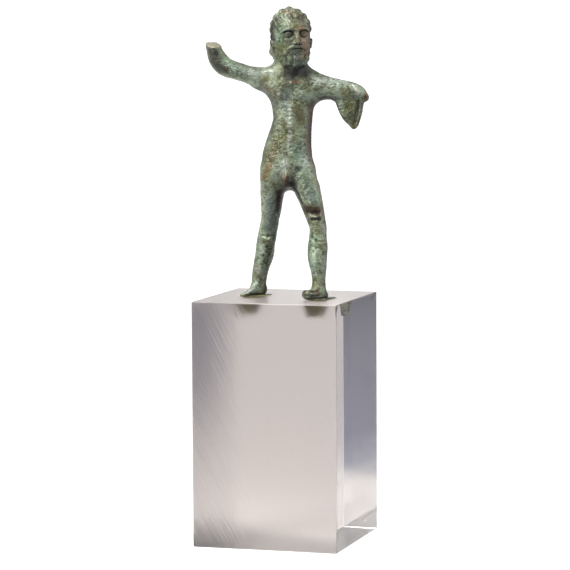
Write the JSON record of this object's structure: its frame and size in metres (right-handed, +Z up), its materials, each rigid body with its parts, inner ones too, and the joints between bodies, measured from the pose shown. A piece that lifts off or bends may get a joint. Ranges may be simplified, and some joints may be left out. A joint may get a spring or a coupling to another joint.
{
  "type": "votive bronze figure",
  "caption": "Small cast bronze of a nude bearded striding man, an animal skin over one outstretched arm, tangs let into a clear acrylic block",
  "frame": {"origin": "middle of the block's underside", "axes": "+Z up, the block's satin front faces -Y, its polished side seen in the picture faces +X"},
  "size_m": [0.0533, 0.05, 0.1794],
  "materials": {
    "patinated_bronze": "cast bronze with a green, grey-green and brown corroded patina",
    "clear_acrylic": "clear acrylic, satin sawn front and top, polished sides"
  },
  "bodies": {
    "root": {"bronze_figure": "patinated_bronze", "acrylic_block": "clear_acrylic"}
  },
  "joints": []
}
